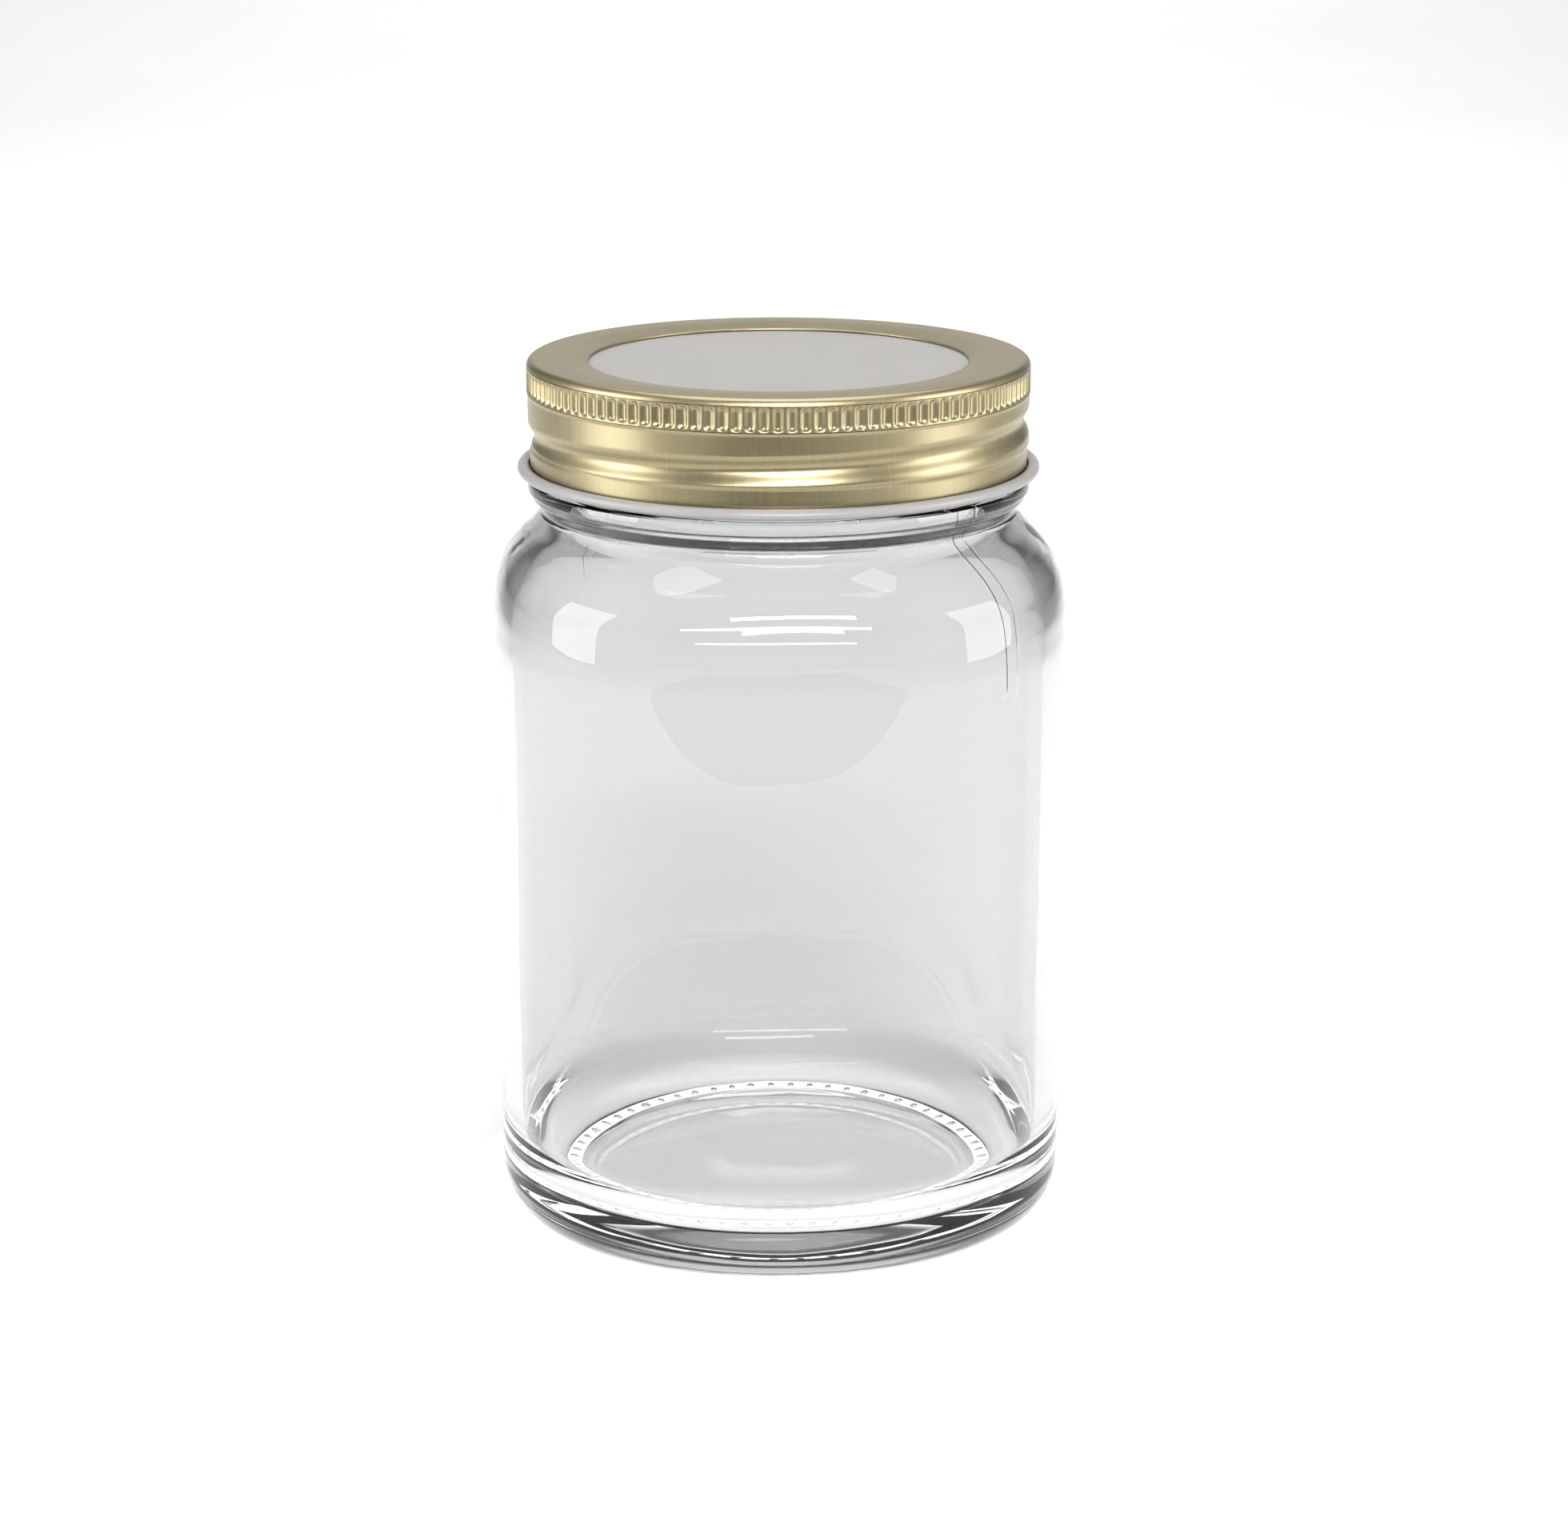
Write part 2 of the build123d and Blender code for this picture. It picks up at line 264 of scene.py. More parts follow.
def glass_mesh(columns=240):
    angles = np.arange(columns) / columns * 2 * np.pi
    turn = turn_from_front(angles)
    radius, height = [], []
    for w, n, z in outer_rows():
        radius.append(squared(w, n, angles))
        height.append(np.full(columns, z))
    for z in np.arange(111.2, 124.3, 0.3):
        ridge = thread_share(
            turn, z, GLASS_THREAD, GROOVE_FRONT_Z + THREAD_DROP, RIDGE_REACH, RIDGE_REACH)
        radius.append(FINISH_R + RIDGE_HEIGHT * ridge)
        height.append(np.full(columns, z))
    for w, n, z in rim_rows() + inner_rows():
        radius.append(squared(w, n, angles))
        height.append(np.full(columns, z))
    radius, height = np.array(radius), np.array(height)
    poles = ((0, PUSH_UP), (len(radius) - 1, FLOOR_Z + FLOOR_CROWN))
    return shell_mesh("glass", radius, height, angles, poles=poles)


glass = add_piece("jar_glass", glass_mesh())
millilitres = round(signed_volume(glass.data) * 1e6, 1)
print("glass shell:", len(glass.data.polygons), "faces,", millilitres, "ml of glass")

# %% [markdown]
# ## Grip marks under the foot
# The ring a jar stands on carries a circle of short radial marks left by the mould, which
# keep the hot glass off the belt. They repeat, so Geometry Nodes place one small cutter
# round a circle and take them all out of the glass with Mesh Boolean. The inputs are the
# marks' number, circle, length, width and depth. The cutter has an odd number of rings, so
# no row of its points lies in the flat face it cuts, which would leave the cut open.

# %% Helpers for node trees
def new_tree(name, inputs):
    tree = bpy.data.node_groups.new(name, "GeometryNodeTree")
    tree.interface.new_socket(name="Geometry", in_out="INPUT", socket_type="NodeSocketGeometry")
    for label, kind, value in inputs:
        socket = tree.interface.new_socket(name=label, in_out="INPUT", socket_type=kind)
        if value is not None:
            socket.default_value = value
    tree.interface.new_socket(name="Geometry", in_out="OUTPUT", socket_type="NodeSocketGeometry")
    return tree


def node(tree, kind, place=(0, 0), **settings):
    made = tree.nodes.new(kind)
    made.location = place
    for key, value in settings.items():
        setattr(made, key, value)
    return made


def apply_tree(piece, tree, values):
    """Runs a tree on a piece and keeps the result as its plain mesh."""
    modifier = piece.modifiers.new("made_by_nodes", "NODES")
    modifier.node_group = tree
    for item in tree.interface.items_tree:
        if item.in_out == "INPUT" and item.name in values:
            modifier[item.identifier] = values[item.name]
    graph = bpy.context.evaluated_depsgraph_get()
    mesh = bpy.data.meshes.new_from_object(piece.evaluated_get(graph), depsgraph=graph)
    piece.modifiers.remove(modifier)
    old = piece.data
    piece.data = mesh
    bpy.data.meshes.remove(old)


# %% The grip-mark tree
def grip_mark_tree():
    tree = new_tree("grip_marks", (
        ("Count", "NodeSocketInt", 62),
        ("Circle Radius", "NodeSocketFloat", 0.0339),
        ("Mark Length", "NodeSocketFloat", 0.0024),
        ("Mark Width", "NodeSocketFloat", 0.0011),
        ("Mark Depth", "NodeSocketFloat", 0.0004),
        ("Finish", "NodeSocketMaterial", None),
    ))
    link = tree.links.new
    given = node(tree, "NodeGroupInput", (-900, 0))
    circle = node(tree, "GeometryNodeMeshCircle", (-650, 200), fill_type="NONE")
    link(given.outputs["Count"], circle.inputs["Vertices"])
    link(given.outputs["Circle Radius"], circle.inputs["Radius"])
    ball = node(tree, "GeometryNodeMeshUVSphere", (-650, -100))
    ball.inputs["Segments"].default_value = 10
    ball.inputs["Rings"].default_value = 7
    ball.inputs["Radius"].default_value = 0.5
    size = node(tree, "ShaderNodeCombineXYZ", (-650, -350))
    link(given.outputs["Mark Length"], size.inputs["X"])
    link(given.outputs["Mark Width"], size.inputs["Y"])
    double = node(tree, "ShaderNodeMath", (-850, -350), operation="MULTIPLY")
    double.inputs[1].default_value = 2.0
    link(given.outputs["Mark Depth"], double.inputs[0])
    link(double.outputs[0], size.inputs["Z"])
    place = node(tree, "GeometryNodeInputPosition", (-650, -550))
    aim = node(tree, "FunctionNodeAlignEulerToVector", (-450, -550), axis="X")
    link(place.outputs[0], aim.inputs["Vector"])
    copies = node(tree, "GeometryNodeInstanceOnPoints", (-250, 100))
    link(circle.outputs["Mesh"], copies.inputs["Points"])
    link(ball.outputs["Mesh"], copies.inputs["Instance"])
    link(aim.outputs["Rotation"], copies.inputs["Rotation"])
    link(size.outputs[0], copies.inputs["Scale"])
    real = node(tree, "GeometryNodeRealizeInstances", (-50, 100))
    link(copies.outputs[0], real.inputs[0])
    cut = node(tree, "GeometryNodeMeshBoolean", (150, 0), operation="DIFFERENCE")
    link(given.outputs["Geometry"], cut.inputs["Mesh 1"])
    link(real.outputs[0], cut.inputs["Mesh 2"])
    whole = node(tree, "GeometryNodeRealizeInstances", (350, 0))
    link(cut.outputs["Mesh"], whole.inputs[0])
    coat = node(tree, "GeometryNodeSetMaterial", (550, 0))
    link(whole.outputs[0], coat.inputs["Geometry"])
    link(given.outputs["Finish"], coat.inputs["Material"])
    out = node(tree, "NodeGroupOutput", (750, 0))
    link(coat.outputs[0], out.inputs[0])
    return tree


# %% [markdown]
# ## Clear glass
# Soda-lime glass is nearly colourless: what shows is its bending of light, and a faint
# grey-green where a lot of it lies along the line of sight. A Principled shader with full
# transmission bends the light, its grey Base Color dims what crosses a surface, and a thin
# Volume Absorption gives the tint by thickness. The
# surface isn't perfect: slow ripples from the mould, and the parting line that
# runs up two opposite corners. Both are heights for the Bump node.

# %% Helpers for materials
def new_material(name):
    made = bpy.data.materials.new(name)
    made.use_nodes = True
    tree = made.node_tree
    return made, tree, tree.nodes["Principled BSDF"], tree.nodes["Material Output"]


def object_coords(tree, scale=(1, 1, 1), turn=(0, 0, 0)):
    coords = tree.nodes.new("ShaderNodeTexCoord")
    mapping = tree.nodes.new("ShaderNodeMapping")
    mapping.inputs["Scale"].default_value = scale
    mapping.inputs["Rotation"].default_value = turn
    tree.links.new(coords.outputs["Object"], mapping.inputs["Vector"])
    return mapping.outputs["Vector"]


def noise(tree, vector, scale, detail=2.0, rough=0.5):
    made = tree.nodes.new("ShaderNodeTexNoise")
    made.inputs["Scale"].default_value = scale
    made.inputs["Detail"].default_value = detail
    made.inputs["Roughness"].default_value = rough
    tree.links.new(vector, made.inputs["Vector"])
    return made.outputs["Fac"]


def math_node(tree, operation, a, b=None):
    made = tree.nodes.new("ShaderNodeMath")
    made.operation = operation
    for socket, value in ((made.inputs[0], a), (made.inputs[1], b)):
        if value is None:
            continue
        if isinstance(value, (int, float)):
            socket.default_value = value
        else:
            tree.links.new(value, socket)
    return made.outputs[0]


def clamped(tree, value):
    return math_node(tree, "MINIMUM", math_node(tree, "MAXIMUM", value, 0.0), 1.0)


def blend_of(tree, a, share_a, b, share_b):
    part_a = math_node(tree, "MULTIPLY", a, share_a)
    return math_node(tree, "ADD", part_a, math_node(tree, "MULTIPLY", b, share_b))


def ramp(tree, value, stops):
    made = tree.nodes.new("ShaderNodeValToRGB")
    bar = made.color_ramp
    while len(bar.elements) < len(stops):
        bar.elements.new(0.5)
    for element, (place, colour) in zip(bar.elements, stops):
        element.position = place
        element.color = tuple(colour) + (1.0,) if len(colour) == 3 else (colour[0],) * 3 + (1.0,)
    tree.links.new(value, made.inputs["Fac"])
    return made.outputs["Color"]


def bump(tree, height, strength, distance, after=None):
    made = tree.nodes.new("ShaderNodeBump")
    made.inputs["Strength"].default_value = strength
    made.inputs["Distance"].default_value = distance
    tree.links.new(height, made.inputs["Height"])
    if after is not None:
        tree.links.new(after, made.inputs["Normal"])
    return made.outputs["Normal"]


# %% The glass material
SEAM_TURN = math.radians(41.0)
SEAM_HALF_WIDTH = 0.00052
SEAM_FOOT_Z, SEAM_RUN_OUT = 0.080, 0.012


def glass_material():
    made, tree, shader, out = new_material("clear_glass")
    shader.inputs["Base Color"].default_value = (0.785, 0.793, 0.788, 1)
    shader.inputs["Roughness"].default_value = 0.0
    shader.inputs["IOR"].default_value = 1.5
    shader.inputs["Transmission Weight"].default_value = 1.0
    ripple = noise(tree, object_coords(tree, (1, 1, 0.35)), 38.0, 2.0)
    xyz = tree.nodes.new("ShaderNodeSeparateXYZ")
    tree.links.new(object_coords(tree, turn=(0, 0, SEAM_TURN)), xyz.inputs[0])
    across = math_node(tree, "ABSOLUTE", xyz.outputs["Y"])
    wander = noise(tree, object_coords(tree), 60.0, 1.0)
    off = math_node(tree, "ADD", across, math_node(tree, "MULTIPLY", wander, 0.0003))
    inside = math_node(tree, "SUBTRACT", SEAM_HALF_WIDTH, off)
    seam = clamped(tree, math_node(tree, "MULTIPLY", inside, 6000.0))
    above = math_node(tree, "SUBTRACT", xyz.outputs["Z"], SEAM_FOOT_Z)
    high = clamped(tree, math_node(tree, "DIVIDE", above, SEAM_RUN_OUT))
    seam = math_node(tree, "MULTIPLY", seam, high)
    normal = bump(tree, ripple, 0.25, 0.0006)
    normal = bump(tree, seam, 0.5, 0.00012, normal)
    tree.links.new(normal, shader.inputs["Normal"])
    depth = tree.nodes.new("ShaderNodeVolumeAbsorption")
    depth.inputs["Color"].default_value = (0.80, 0.818, 0.805, 1)
    depth.inputs["Density"].default_value = 7.0
    tree.links.new(depth.outputs[0], out.inputs["Volume"])
    return made


CLEAR_GLASS = glass_material()
glass.data.materials.append(CLEAR_GLASS)
apply_tree(glass, grip_mark_tree(), {
    "Count": 62, "Circle Radius": 0.0339, "Mark Length": 0.0024,
    "Mark Width": 0.0011, "Mark Depth": 0.0004, "Finish": CLEAR_GLASS,
})
glass.data.shade_smooth()
glass.data.set_sharp_from_angle(angle=math.radians(38))
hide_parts("glass_jar")
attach(glass, "jar")
print("glass with grip marks:", len(glass.data.polygons), "faces")

# %% [markdown]
# ## The screw band
# One sheet of tinplate, 0.35 mm thick: a flat top ring that slopes down to its opening, a
# rounded corner, a knurled grip, a wall with the thread pressed in, and a hem rolled
# outwards. Rolling outwards turns the sheet over, so the hem shows the white inside enamel
# under the gold skirt. The sheet is drawn as a closed profile: gold face out to the hem's
# free edge, then back along the white face. The grip's place is left open for its knurls.

# %% Sizes of the band
TOP_Z = 128.0
BAND_R = 36.5
SHEET = 0.35
CORNER = 1.1
OPENING_R, SLOPE_R, LIP_DROP = 27.5, 31.6, 0.45
GROOVE_DEPTH, GROOVE_UP, GROOVE_DOWN = 0.9, 2.2, 2.4
BAND_THREAD = (-165.0, 262.0)
GRIP_LOW, GRIP_HIGH = 123.3, 126.9
GRIP_STEP = 0.12
SKIRT_LOW_R, SKIRT_LOW_Z = 36.15, 115.2
HEM_OUT, HEM_WIDE, HEM_HIGH, HEM_Z = 38.0, 0.95, 0.80, 112.1


def band_wall(turn, z):
    plain = SKIRT_LOW_R + (BAND_R - GRIP_STEP - SKIRT_LOW_R) * ease((z - SKIRT_LOW_Z) / 0.7)
    plain = plain + GRIP_STEP * ease((z - 122.75) / 0.5)
    groove = thread_share(turn, z, BAND_THREAD, GROOVE_FRONT_Z, GROOVE_UP, GROOVE_DOWN)
    return plain - GROOVE_DEPTH * groove


def band_mesh(columns=360):
    angles = np.radians(np.arange(columns) + 0.5)
    turn = turn_from_front(angles)
    ones = np.ones(columns)
    radius, height, gold = [], [], []

    def row(r, z, outside):
        radius.append(r * ones)
        height.append(z * ones)
        gold.append(outside)

    # gold face below the grip, down to the hem, then inside the rolled tube
    for z in np.arange(GRIP_LOW, HEM_Z, -0.16):
        row(band_wall(turn, z), z, True)
    middle = HEM_OUT - HEM_WIDE
    sweep = np.radians(np.linspace(184, 495, 38))
    wide, high = HEM_WIDE - SHEET, HEM_HIGH - SHEET
    for a in sweep:
        row(middle + wide * math.cos(a), HEM_Z + high * math.sin(a), True)
    # white face back along the tube and up the inside to the opening
    for a in sweep[::-1]:
        row(middle + HEM_WIDE * math.cos(a), HEM_Z + HEM_HIGH * math.sin(a), False)
    for z in np.arange(HEM_Z + 0.1, TOP_Z - CORNER, 0.25):
        row(band_wall(turn, min(z, 122.0)) - SHEET, z, False)
    for a in np.radians(np.arange(0, 91, 15)):
        bend = CORNER - SHEET
        row(BAND_R - CORNER + bend * math.cos(a), TOP_Z - CORNER + bend * math.sin(a), False)
    row(SLOPE_R + 0.3, TOP_Z - SHEET, False)
    row(SLOPE_R - 0.3, TOP_Z - SHEET - 0.04, False)
    row(OPENING_R + 0.2, TOP_Z - SHEET - LIP_DROP + 0.02, False)
    # rounded raw edge of the opening, then the gold face out over the corner
    for a in np.radians(np.arange(270, 89, -30)):
        z = TOP_Z - LIP_DROP - SHEET / 2 + SHEET / 2 * math.sin(a)
        row(OPENING_R + SHEET / 2 + SHEET / 2 * math.cos(a), z, True)
    for r in np.linspace(OPENING_R + 0.4, SLOPE_R - 0.9, 5):
        row(r, TOP_Z - LIP_DROP * (1 - (r - OPENING_R) / (SLOPE_R - OPENING_R)), True)
    for t in np.linspace(0, 1, 7):
        r = SLOPE_R - 0.7 + 1.4 * t
        row(r, TOP_Z - LIP_DROP * 0.2 * (1 - t) ** 2, True)
    for r in (32.4, 33.4, 34.4, 35.1):
        row(r, TOP_Z, True)
    for a in np.radians(np.arange(90, -1, -9)):
        row(BAND_R - CORNER + CORNER * math.cos(a), TOP_Z - CORNER + CORNER * math.sin(a), True)
    radius, height = np.array(radius), np.array(height)
    mesh = shell_mesh("band", radius, height, angles)
    gold = np.array(gold)
    per_row = np.repeat(gold[:-1] & gold[1:], columns)
    for face, is_gold in zip(mesh.polygons, per_row):
        face.material_index = 0 if is_gold else 1
    return mesh


band = add_piece("screw_band_sheet", band_mesh())
print("band sheet:", len(band.data.polygons), "faces")

# %% [markdown]
# ## Knurls
# The grip is pressed with 120 shallow flutes with rounded ends. One flute is a curved tile
# three degrees wide; a node tree turns copies of it round the axis, realizes them and merges
# the points that meet. A tile's edge has nine steps where the sheet has three, so only every
# third point is shared with the sheet, and the seams above and below the grip stay unwelded.

# %% One flute, and the tree that repeats it
FLUTES = 120
FLUTE_ANGLE = 2 * math.pi / FLUTES


def flute_tile(across=9, up=18, depth=0.44):
    a = np.linspace(-FLUTE_ANGLE / 2, FLUTE_ANGLE / 2, across + 1)
    z = GRIP_LOW + (GRIP_HIGH - GRIP_LOW) * (1 - np.cos(np.linspace(0, np.pi, up + 1))) / 2
    A, Z = np.meshgrid(a, z)
    hollow = 1 - np.abs(np.sin(A / FLUTE_ANGLE * np.pi)) ** 2.6
    end = 0.75 - 0.3 * np.cos(A / FLUTE_ANGLE * 2 * np.pi)
    ends = ease((Z - GRIP_LOW - 0.1) / end) * ease((GRIP_HIGH - 0.05 - Z) / end)
    R = BAND_R - depth * hollow * ends
    verts = np.stack([R * np.cos(A), R * np.sin(A), Z], axis=-1).reshape(-1, 3) * MM
    n = across + 1
    corners = [i * n + j for i in range(up) for j in range(across)]
    faces = [(c, c + 1, c + n + 1, c + n) for c in corners]
    mesh = bpy.data.meshes.new("flute")
    mesh.from_pydata([tuple(v) for v in verts], [], faces)
    mesh.shade_smooth()
    return add_piece("flute_tile", mesh)


def knurl_tree():
    tree = new_tree("knurled_grip", (
        ("Flute", "NodeSocketObject", None),
        ("Count", "NodeSocketInt", FLUTES),
        ("Weld", "NodeSocketFloat", 0.000002),
        ("Finish", "NodeSocketMaterial", None),
    ))
    link = tree.links.new
    given = node(tree, "NodeGroupInput", (-900, 0))
    flute = node(tree, "GeometryNodeObjectInfo", (-650, 0))
    link(given.outputs["Flute"], flute.inputs["Object"])
    line = node(tree, "GeometryNodeMeshLine", (-650, 250))
    line.inputs["Offset"].default_value = (0, 0, 0)
    link(given.outputs["Count"], line.inputs["Count"])
    index = node(tree, "GeometryNodeInputIndex", (-850, -300))
    step = node(tree, "ShaderNodeMath", (-650, -300), operation="DIVIDE")
    step.inputs[0].default_value = 2 * math.pi
    link(given.outputs["Count"], step.inputs[1])
    angle = node(tree, "ShaderNodeMath", (-450, -300), operation="MULTIPLY")
    link(index.outputs[0], angle.inputs[0])
    link(step.outputs[0], angle.inputs[1])
    turn = node(tree, "ShaderNodeCombineXYZ", (-250, -300))
    link(angle.outputs[0], turn.inputs["Z"])
    copies = node(tree, "GeometryNodeInstanceOnPoints", (-50, 100))
    link(line.outputs["Mesh"], copies.inputs["Points"])
    link(flute.outputs["Geometry"], copies.inputs["Instance"])
    link(turn.outputs[0], copies.inputs["Rotation"])
    coat = node(tree, "GeometryNodeSetMaterial", (150, 100))
    link(copies.outputs[0], coat.inputs["Geometry"])
    link(given.outputs["Finish"], coat.inputs["Material"])
    both = node(tree, "GeometryNodeJoinGeometry", (350, 0))
    link(given.outputs["Geometry"], both.inputs[0])
    link(coat.outputs[0], both.inputs[0])
    real = node(tree, "GeometryNodeRealizeInstances", (550, 0))
    link(both.outputs[0], real.inputs[0])
    weld = node(tree, "GeometryNodeMergeByDistance", (750, 0))
    link(real.outputs[0], weld.inputs["Geometry"])
    link(given.outputs["Weld"], weld.inputs["Distance"])
    out = node(tree, "NodeGroupOutput", (950, 0))
    link(weld.outputs[0], out.inputs[0])
    return tree


# %% [markdown]
# ## Gold lacquer and white enamel
# The gold is a clear yellow lacquer over rolled tinplate. The metal shader carries the colour;
# the rolling leaves fine straight grain in one direction across the whole sheet, so stretched
# noise on Object coordinates drives roughness and bump. Tiny specks and slow cloudiness
# break up the shine. The inside enamel is a slightly warm off-white coat, gently mottled, but
# both enamel colours are set to a dim grey far below white: painted shade, standing for the
# shade under the skirt on the hem and for less light on the lid panel.

# %% Metal and enamel materials
def gold_material():
    made, tree, shader, _ = new_material("gold_lacquer")
    shader.inputs["Metallic"].default_value = 1.0
    along_grain = object_coords(tree, (1, 0.02, 0.02), (0, 0, math.radians(39)))
    grain = noise(tree, along_grain, 9000.0, 3.0, 0.6)
    cloud = noise(tree, object_coords(tree), 70.0, 3.0)
    speck = noise(tree, object_coords(tree), 6000.0, 1.0)
    colour = ramp(tree, blend_of(tree, grain, 0.6, cloud, 0.4), (
        (0.3, (0.33, 0.283, 0.165)), (0.55, (0.39, 0.34, 0.21)), (0.8, (0.46, 0.41, 0.27)),
    ))
    tree.links.new(colour, shader.inputs["Base Color"])
    rough = blend_of(tree, grain, 0.16, cloud, 0.1)
    tree.links.new(math_node(tree, "ADD", rough, 0.21), shader.inputs["Roughness"])
    shader.inputs["Coat Weight"].default_value = 0.25
    shader.inputs["Coat Roughness"].default_value = 0.25
    shader.inputs["Coat Tint"].default_value = (1.0, 0.93, 0.75, 1)
    normal = bump(tree, grain, 0.05, 0.00002)
    normal = bump(tree, speck, 0.08, 0.00002, normal)
    normal = bump(tree, cloud, 0.06, 0.0002, normal)
    tree.links.new(normal, shader.inputs["Normal"])
    return made


def enamel_material(name, light, dark, rough, peel):
    made, tree, shader, _ = new_material(name)
    mottle = noise(tree, object_coords(tree), 160.0, 4.0, 0.6)
    speck = noise(tree, object_coords(tree), 2600.0, 2.0)
    colour = ramp(tree, blend_of(tree, mottle, 0.65, speck, 0.35), ((0.3, dark), (0.65, light)))
    tree.links.new(colour, shader.inputs["Base Color"])
    change = math_node(tree, "MULTIPLY", math_node(tree, "SUBTRACT", mottle, 0.5), 0.12)
    tree.links.new(math_node(tree, "ADD", change, rough), shader.inputs["Roughness"])
    normal = bump(tree, noise(tree, object_coords(tree), 1500.0, 2.0), peel, 0.00003)
    tree.links.new(bump(tree, mottle, 0.08, 0.0002, normal), shader.inputs["Normal"])
    return made


GOLD = gold_material()
# the white enamel's colour is a dim grey: painted shade for the hem tucked under the gold skirt,
# not the coat's own white
WHITE_ENAMEL_PAINTED_SHADE = enamel_material(
    "white_enamel_painted_shade", (0.33, 0.319, 0.315), (0.29, 0.281, 0.276), rough=0.3, peel=0.2)
# the disc enamel's colour is a dim grey: painted shade that dims the lid panel under the overhead
# light, not the coat's own off-white
DISC_ENAMEL_PAINTED_SHADE = enamel_material(
    "disc_enamel", (0.345, 0.334, 0.316), (0.319, 0.307, 0.292), rough=0.42, peel=0.2)
band.data.materials.append(GOLD)
band.data.materials.append(WHITE_ENAMEL_PAINTED_SHADE)
tile = flute_tile()
apply_tree(band, knurl_tree(), {"Flute": tile, "Count": FLUTES, "Weld": 0.000002, "Finish": GOLD})
bpy.data.objects.remove(tile)
band.data.shade_smooth()
band.data.set_sharp_from_angle(angle=math.radians(50))
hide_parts("screw_band")
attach(band, "band")
print("band with knurls:", len(band.data.polygons), "faces,", [m.name for m in band.data.materials])

# %% [markdown]
# ## The lid disc and its seal
# The disc is a thin pressing with a raised flat panel, a channel under which the sealing
# compound sits, and an edge turned down over the rim. Both are round, so a profile is turned
# with soft bends where the press would leave them. Only the panel shows through the band.

# %% Turn the disc and the sealing ring
def bent_profile(points, bend=0.25, steps=4):
    """Rounds every inner corner of a profile with a small curve."""
    out = [points[0]]
    for before, here, after in zip(points[:-2], points[1:-1], points[2:]):
        b, h, a = np.array(before), np.array(here), np.array(after)
        into, away = b - h, a - h
        reach = min(bend, np.linalg.norm(into) * 0.45, np.linalg.norm(away) * 0.45)
        p, q = h + into / np.linalg.norm(into) * reach, h + away / np.linalg.norm(away) * reach
        for t in np.linspace(0, 1, steps + 1):
            out.append(tuple((1 - t) ** 2 * p + 2 * t * (1 - t) * h + t * t * q))
    out.append(points[-1])
    return out


def turned_mesh(name, profile, columns=180, closed=False, poles=()):
    angles = np.arange(columns) / columns * 2 * np.pi
    radius = np.array([[r] * columns for r, _ in profile])
    height = np.array([[z] * columns for _, z in profile])
    return shell_mesh(name, radius, height, angles, close_rows=closed, poles=poles)


PANEL_Z, PANEL_UNDER_Z = 127.15, 127.15 - 0.3
CHANNEL_Z, CHANNEL_UNDER_Z, LIP_Z = 126.7, 126.4, 125.8
DISC_R, DISC_INNER_R = 34.0, 33.7
top = [(r, PANEL_Z) for r in (2.0, 8.0, 14.0, 20.0, 25.0)]
top += bent_profile([
    (27.0, PANEL_Z), (28.6, PANEL_Z), (29.1, CHANNEL_Z), (DISC_R, CHANNEL_Z), (DISC_R, LIP_Z),
])
under = bent_profile([
    (DISC_INNER_R, LIP_Z), (DISC_INNER_R, CHANNEL_UNDER_Z), (28.95, CHANNEL_UNDER_Z),
    (28.45, PANEL_UNDER_Z), (27.0, PANEL_UNDER_Z),
], 0.15)
under += [(r, PANEL_UNDER_Z) for r in (20.0, 12.0, 4.0)]
profile = top + under
poles = ((0, PANEL_Z), (len(profile) - 1, PANEL_UNDER_Z))
disc_mesh = turned_mesh("disc", profile, poles=poles)
disc = add_piece("lid_disc_panel", disc_mesh)
disc.data.materials.append(DISC_ENAMEL_PAINTED_SHADE)
disc.data.set_sharp_from_angle(angle=math.radians(50))
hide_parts("lid_disc")
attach(disc, "lid")

SEAL_IN, SEAL_OUT, SEAL_Z = 30.9, 33.2, 125.6
seal_profile = bent_profile([
    (32.0, CHANNEL_UNDER_Z), (SEAL_IN, CHANNEL_UNDER_Z), (SEAL_IN, SEAL_Z),
    (SEAL_OUT, SEAL_Z), (SEAL_OUT, CHANNEL_UNDER_Z), (32.0, CHANNEL_UNDER_Z),
], 0.3)[:-1]
seal = add_piece("sealing_compound", turned_mesh("seal", seal_profile, closed=True))


def seal_material():
    made, tree, shader, _ = new_material("sealing_compound")
    grains = noise(tree, object_coords(tree), 900.0, 3.0)
    colour = ramp(tree, grains, ((0.3, (0.28, 0.12, 0.09)), (0.7, (0.36, 0.17, 0.12))))
    tree.links.new(colour, shader.inputs["Base Color"])
    shader.inputs["Roughness"].default_value = 0.55
    tree.links.new(bump(tree, grains, 0.3, 0.00005), shader.inputs["Normal"])
    return made


seal.data.materials.append(seal_material())
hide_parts("sealing_ring")
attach(seal, "lid")
print("disc", len(disc.data.polygons), "faces; seal", len(seal.data.polygons), "faces")

# %% [markdown]
# ## Room, light and camera
# A wide pale floor fills the view, and glows softly under the jar, as a light table would, so
# the thick glass of the foot has light to carry. Soft boxes behind, overhead and to the sides
# give the metal its long highlights and the glass its bright streaks, and a dark low horizon
# gives the edges of the glass something to bend towards. The camera stands half a metre away,
# looking down. The plain Standard view keeps the white floor white.

# %% Floor
FLOOR_HALF = 6.0
GLOW_RADIUS, GLOW_FADE, GLOW = 0.050, 0.012, 0.9


def flat_piece(name, x_low, x_high, y_low, y_high, z):
    mesh = bpy.data.meshes.new(name)
    corners = [(x_low, y_low, z), (x_high, y_low, z), (x_high, y_high, z), (x_low, y_high, z)]
    mesh.from_pydata(corners, [], [(0, 1, 2, 3)])
    return add_piece(name, mesh)


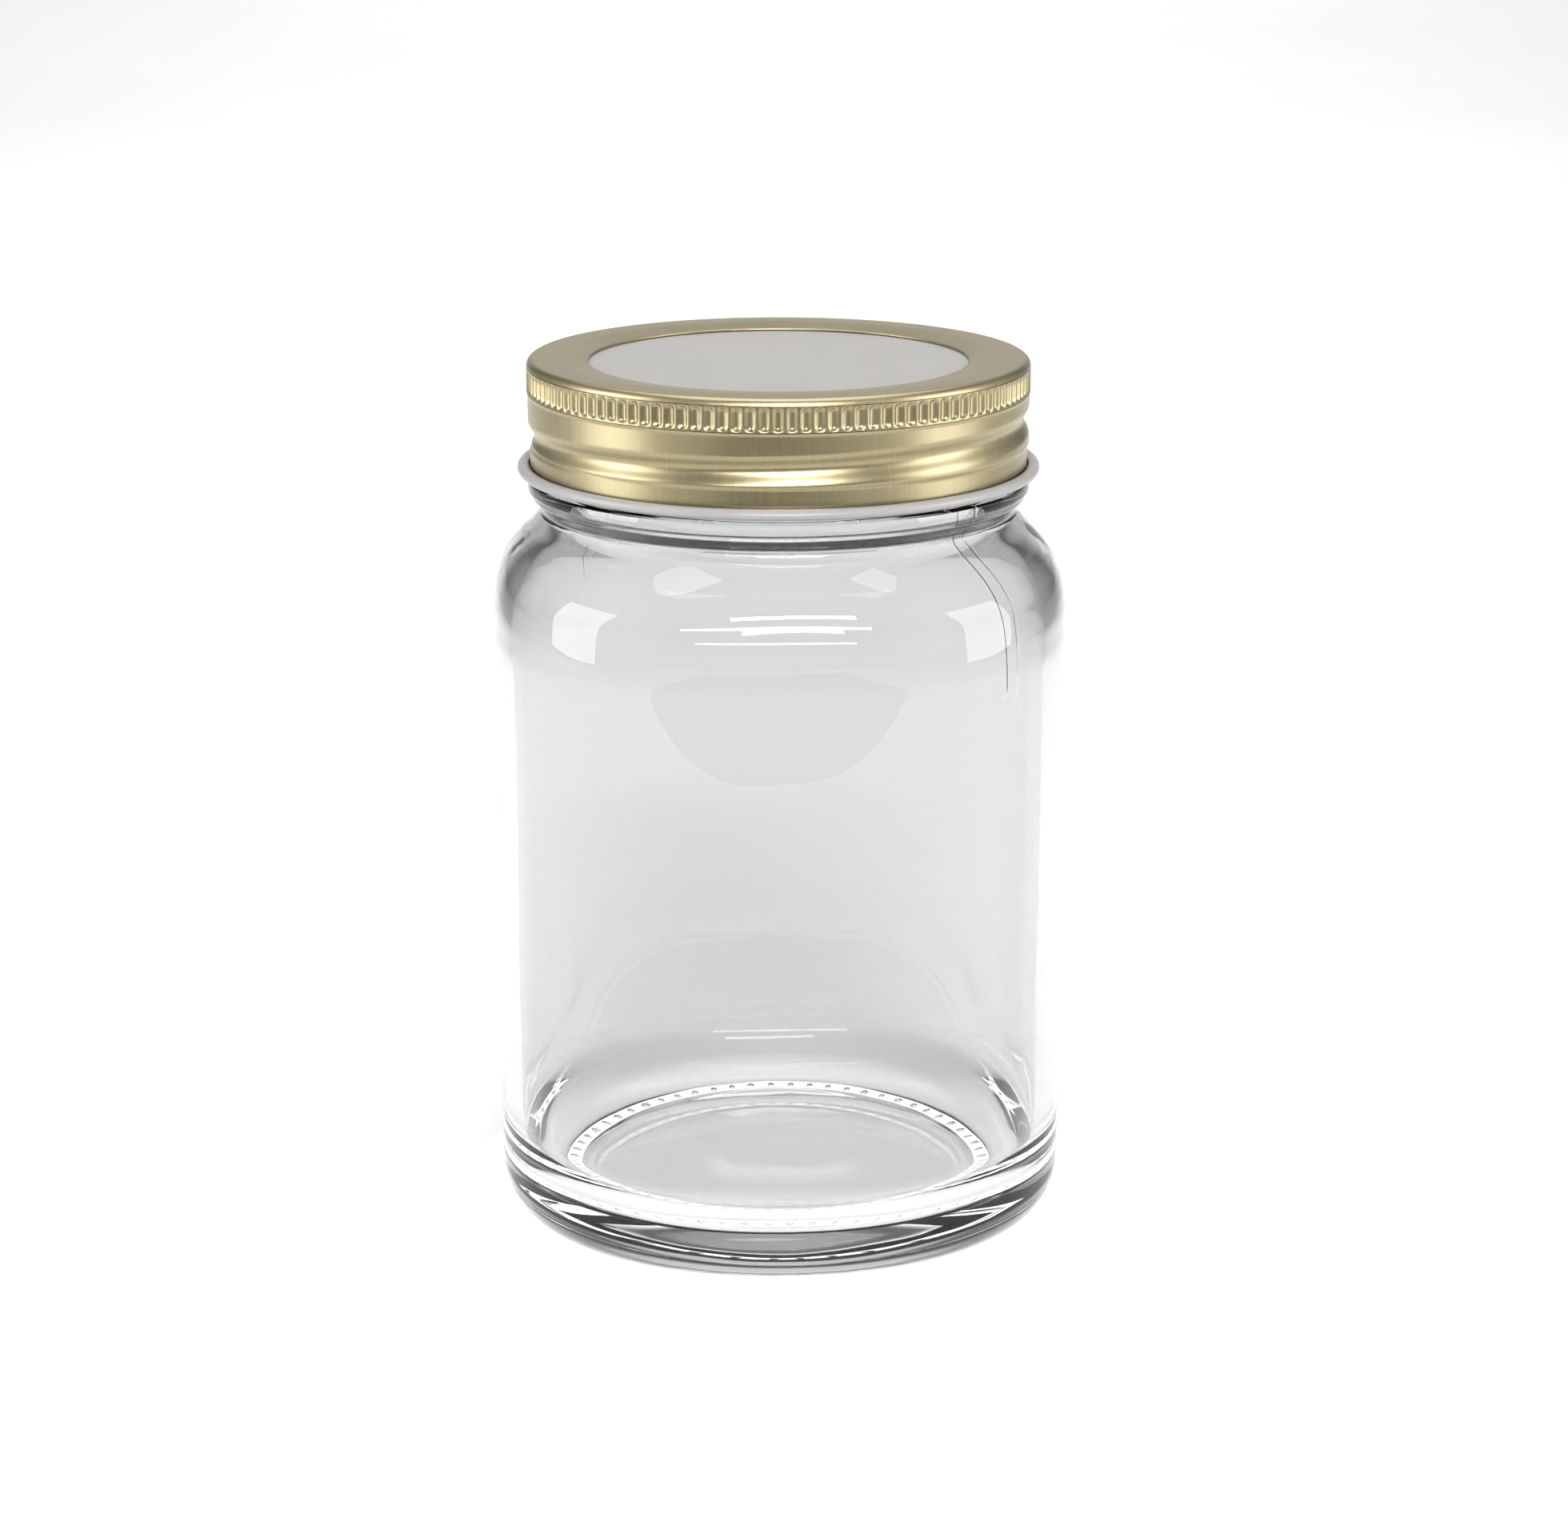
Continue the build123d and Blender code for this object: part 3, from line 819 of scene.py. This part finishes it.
def floor_piece():
    piece = flat_piece("floor", -FLOOR_HALF, FLOOR_HALF, -FLOOR_HALF, FLOOR_HALF, 0)
    made, tree, shader, _ = new_material("pale_floor")
    soft = noise(tree, object_coords(tree), 3.0, 2.0)
    tree.links.new(ramp(tree, soft, ((0.3, (0.80,)), (0.7, (0.82,)))), shader.inputs["Base Color"])
    shader.inputs["Roughness"].default_value = 0.9
    away = tree.nodes.new("ShaderNodeVectorMath")
    away.operation = "LENGTH"
    tree.links.new(object_coords(tree), away.inputs[0])
    inside = math_node(tree, "SUBTRACT", GLOW_RADIUS, away.outputs["Value"])
    edge = clamped(tree, math_node(tree, "DIVIDE", inside, GLOW_FADE))
    glow = math_node(tree, "MULTIPLY", edge, GLOW)
    tree.links.new(glow, shader.inputs["Emission Strength"])
    shader.inputs["Emission Color"].default_value = (1, 1, 1, 1)
    piece.data.materials.append(made)
    return piece


floor_piece()


# %% A black card on the floor in front
def black_card():
    """Seen only as a reflection; it keeps the front of the skirt dark."""
    card = flat_piece("black_card", -0.22, 0.22, -0.75, -0.30, 0.002)
    made, _, shader, _ = new_material("black_paper")
    shader.inputs["Base Color"].default_value = (0.01, 0.01, 0.01, 1)
    shader.inputs["Roughness"].default_value = 1.0
    card.data.materials.append(made)
    card.visible_camera = False
    card.visible_diffuse = False
    card.visible_transmission = False
    card.visible_shadow = False
    return card


black_card()


# %% Lights
def soft_box(name, place, aim, size, power, spread=180.0, through_glass=True):
    data = bpy.data.lights.new(name, "AREA")
    data.shape = "RECTANGLE"
    data.size, data.size_y = size
    data.energy = power
    data.spread = math.radians(spread)
    lamp = bpy.data.objects.new(name, data)
    bpy.context.scene.collection.objects.link(lamp)
    lamp.location = place
    lamp.rotation_euler = (Vector(aim) - Vector(place)).to_track_quat("-Z", "Y").to_euler()
    lamp.visible_camera = False
    lamp.visible_transmission = through_glass
    return lamp


BODY_AIM = (0, 0.05, 0.09)
STRIP_AIM, STRIP_SIZE = (0, 0.02, 0.09), (0.34, 0.48)
soft_box("overhead", (0, 0.62, 0.85), (0, 0.621, 0), (0.7, 1.5), 2.9, 100)
soft_box("overhead_back", (0, 2.5, 1.6), (0, 2.501, 0), (1.7, 3.0), 21, 115)
soft_box("left_strip", (-0.60, -0.12, 0.24), STRIP_AIM, STRIP_SIZE, 1.65, 150, False)
soft_box("right_strip", (0.60, -0.12, 0.24), STRIP_AIM, STRIP_SIZE, 1.45, 150, False)
soft_box("key_narrow", (0.10, -0.85, 0.72), BODY_AIM, (0.50, 0.09), 2.2, 110)
soft_box("key_wide", (0.0, -1.05, 0.54), BODY_AIM, (1.0, 0.065), 2.6, 110)


def soft_world():
    """Brighter overhead than at the horizon, like a room with white walls and ceiling."""
    world = bpy.data.worlds.new("studio")
    bpy.context.scene.world = world
    world.use_nodes = True
    tree = world.node_tree
    coords = tree.nodes.new("ShaderNodeTexCoord")
    xyz = tree.nodes.new("ShaderNodeSeparateXYZ")
    tree.links.new(coords.outputs["Generated"], xyz.inputs[0])
    sky = ramp(tree, xyz.outputs["Z"], (
        (0.0, (0.05,)), (0.35, (0.07,)), (0.6, (0.22,)), (1.0, (0.34,)),
    ))
    backdrop = ramp(tree, xyz.outputs["Y"], ((0.87, (0.0,)), (0.955, (0.62,))))
    sideways = math_node(tree, "ABSOLUTE", xyz.outputs["X"])
    walls = ramp(tree, sideways, ((0.4, (0.0,)), (0.85, (0.45,))))
    total = sky
    for part in (backdrop, walls):
        both = tree.nodes.new("ShaderNodeVectorMath")
        tree.links.new(total, both.inputs[0])
        tree.links.new(part, both.inputs[1])
        total = both.outputs[0]
    tree.links.new(total, tree.nodes["Background"].inputs["Color"])
    tree.nodes["Background"].inputs["Strength"].default_value = 1.0


soft_world()
scene = bpy.context.scene
scene.view_settings.view_transform = "Standard"
scene.cycles.max_bounces = 24
scene.cycles.transmission_bounces = 24

# %% Camera
camera_data = bpy.data.cameras.new("camera")
camera_data.sensor_width = 36.0
camera_data.lens = 87.95
camera = bpy.data.objects.new("camera", camera_data)
bpy.context.scene.collection.objects.link(camera)
camera.location = (0.0008, -0.550, 0.2193)
camera.rotation_euler = (math.radians(90 - 15.47), 0, 0)
bpy.context.scene.camera = camera
